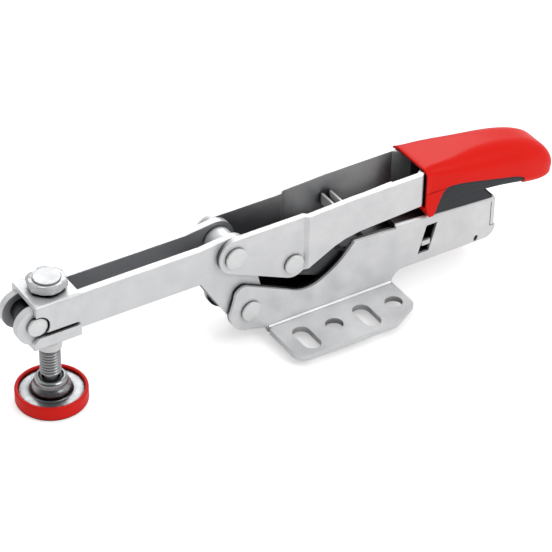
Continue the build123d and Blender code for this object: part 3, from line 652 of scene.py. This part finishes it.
@dataclass
class BaseChannel:
    """Small pieces of the base: black sheets of painted shade low in its channel, bright folds and the wedge's
    spring.
    """

    # front, rear, low and high of each black sheet of painted shade, which keeps the floor from showing under the
    # bends
    shade_sheets: tuple[tuple[float, float, float, float], ...] = ((32.6, 62.0, 7.2, 7.9), (-28.0, 18.0, 2.4, 3.0))
    shade_sheet_half: float = 7.25
    cheek_out: float = 9.7
    sheet: float = 2.4
    fold_r: float = 0.9
    fold_front: float = -35.6
    fold_rear: float = 19.6
    fold_steps: int = 8
    fold_sink: float = 0.05
    spring_x: float = 36.1
    spring_r: float = 1.2
    wire_r: float = 0.25
    spring_low: float = 16.55
    spring_high: float = 24.85
    turns: int = 5
    turn_steps: int = 24
    wire_sides: int = 8

    def shade_sheet(self, front: float, rear: float, low: float, high: float) -> bpy.types.Mesh:
        """A flat strip between the two cheeks, made black to stand for the shade in the channel: painted shade."""
        half = self.shade_sheet_half
        corners = [(x, y, z) for x in (front, rear) for y in (-half, half) for z in (low, high)]
        faces = [(0, 1, 3, 2), (4, 6, 7, 5), (0, 4, 5, 1), (2, 3, 7, 6), (0, 2, 6, 4), (1, 5, 7, 3)]
        return solid("painted_shade_sheet", corners, faces)

    def fold(self, side: int) -> bpy.types.Mesh:
        """The inner radius of one flange's fold, which the press tool has burnished."""
        centre_y, centre_z = self.cheek_out + self.fold_r, self.sheet + self.fold_r
        turns = [pi / 2 * i / self.fold_steps for i in range(self.fold_steps + 1)]
        arc = [(centre_y - self.fold_r * cos(turn), centre_z - self.fold_r * sin(turn)) for turn in turns]
        outline = [(self.cheek_out - self.fold_sink, self.sheet - self.fold_sink)] + arc
        count = len(outline)
        points = [(x, side * y, z) for x in (self.fold_front, self.fold_rear) for y, z in outline]
        faces = [tuple(range(count)), tuple(range(count, 2 * count))]
        faces += [(i, (i + 1) % count, count + (i + 1) % count, count + i) for i in range(count)]
        mesh = solid("burnished_fold", points, faces)
        mesh.shade_smooth()
        mesh.set_sharp_from_angle(angle=SHARP)
        return mesh

    def spring(self) -> bpy.types.Mesh:
        """The coil spring between the wedge bar and the web."""
        steps, sides = self.turn_steps * self.turns, self.wire_sides
        points = []
        for i in range(steps + 1):
            turn = 2 * pi * self.turns * i / steps
            z = self.spring_low + (self.spring_high - self.spring_low) * i / steps
            for j in range(sides):
                around = 2 * pi * j / sides
                out = self.spring_r + self.wire_r * cos(around)
                points.append((self.spring_x + out * cos(turn), out * sin(turn), z + self.wire_r * sin(around)))
        faces = [tuple(range(sides)), tuple(range(steps * sides, (steps + 1) * sides))]
        for i in range(steps):
            for j in range(sides):
                k = (j + 1) % sides
                faces.append((i * sides + j, i * sides + k, (i + 1) * sides + k, (i + 1) * sides + j))
        return solid("coil_spring", points, faces)

    def build(self, dresser: Dresser) -> None:
        """Build the pieces, and give the spring a mesh of its own."""
        # Black strips of painted shade low in the channel.
        for sizes in self.shade_sheets:
            dresser.piece(self.shade_sheet(*sizes), Slot.RING, "base")
        for side in (-1, 1):
            dresser.piece(self.fold(side), Slot.SADDLE, "base")
        spring = dresser.piece(self.spring(), Slot.SPRING, "base", "wedge_spring")
        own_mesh(spring)


@dataclass(frozen=True)
class Rivet:
    """One peened rivet along Y: its node, body, centre in the side view, shaft, seats and head."""

    node: str
    body: str
    x_mm: float
    z_mm: float
    shaft_r: float
    reach: float
    head_r: float
    height: float


@dataclass
class PeenedRivets:
    """The rivets of the joints, each with two straight-sided heads and a flat peened face."""

    rivets: tuple[Rivet, ...]
    edge_mm: float = 0.25
    crown_mm: float = 0.05
    flat_share: float = 0.4
    break_share: float = 0.3
    steps: int = 56

    def profile(self, rivet: Rivet) -> list[tuple[float, float]]:
        """The outline of one rivet from face to face, as radius and place along Y in millimetres."""
        high = rivet.reach + rivet.height
        rim = high - self.crown_mm
        broken = self.edge_mm * self.break_share
        head = [(rivet.head_r * self.flat_share, high), (rivet.head_r - self.edge_mm, rim),
                (rivet.head_r - broken, rim - broken), (rivet.head_r, rim - self.edge_mm),
                (rivet.head_r, rivet.reach), (rivet.shaft_r, rivet.reach)]
        return [(r, -y) for r, y in head] + head[::-1]

    def build(self, dresser: Dresser) -> None:
        """Build each rivet and put it in the place of its plain node."""
        for rivet in self.rivets:
            mesh = lathe(f"peened_{rivet.node}", self.profile(rivet), (rivet.x_mm, rivet.z_mm), "Y", self.steps)
            dresser.piece(mesh, Slot.RIVET, rivet.body, rivet.node)


def main() -> None:
    """Dress the nodes, build the pieces and set up the studio."""
    logging.basicConfig(level=logging.INFO, format="%(name)s: %(message)s")
    dresser = Dresser()
    dresser.mix()
    dresser.dress_nodes()
    ThreadedSpindle().build(dresser)
    PressurePad().build(dresser)
    BaseChannel().build(dresser)
    PeenedRivets((
        Rivet("arm_rivet", "base", -43.6, 13.4, 3.0, 9.7, 4.1, 1.5),
        Rivet("handle_rivet", "handle", -50.3, 39.8, 3.0, 9.7, 4.4, 1.5),
        Rivet("link_rivet", "handle", -25.2, 28.0, 3.0, 9.7, 4.0, 1.5),
        Rivet("tip_rivet", "arm", -130.7, 38.8, 2.5, 7.2, 3.8, 1.7),
    )).build(dresser)
    Studio().build()


if __name__ == "__main__":
    main()
